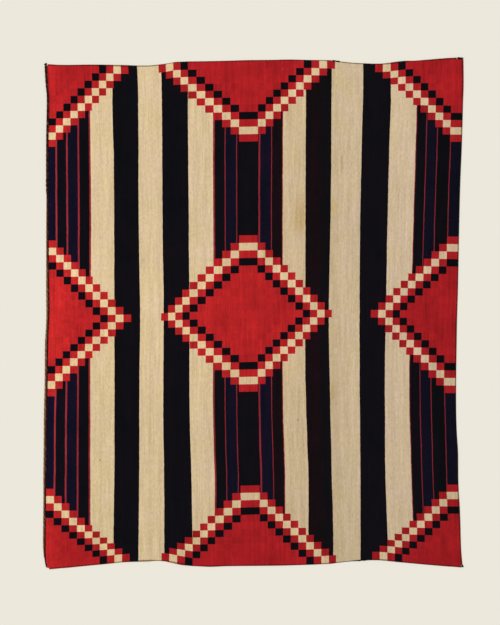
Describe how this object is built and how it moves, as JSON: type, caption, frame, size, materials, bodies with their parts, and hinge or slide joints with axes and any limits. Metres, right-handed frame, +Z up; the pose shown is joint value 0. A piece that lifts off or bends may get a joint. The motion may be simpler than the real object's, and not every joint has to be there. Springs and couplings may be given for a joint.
{
  "type": "chief blanket",
  "caption": "Flat wool chief blanket in tapestry weave, with upright stripes, stepped red diamonds, twisted edge cords and corner knots.",
  "frame": {"origin": "under the middle of the blanket, on the surface that it lies on", "axes": "+X along the warp, across the stripes, +Y along the weft and the stripes, +Z up out of the face"},
  "size_m": [1.4514, 1.7649, 0.0069],
  "materials": {
    "woven_wool": "matte",
    "dark_wool_cord": "matte",
    "tan_wool_cord": "matte",
    "red_wool_cord": "matte"
  },
  "bodies": {
    "root": {"blanket_cloth": "woven_wool", "end_cord_dark": "dark_wool_cord", "end_cord_tan": "tan_wool_cord", "end_cord_right": "red_wool_cord", "side_cord_top_left": "dark_wool_cord", "side_cord_top_right": "dark_wool_cord", "side_cord_bottom": "dark_wool_cord", "cord_tail_top": "dark_wool_cord", "corner_knot_top_left": "dark_wool_cord", "corner_knot_top_right": "dark_wool_cord", "corner_knot_bottom_right": "dark_wool_cord"}
  },
  "joints": []
}
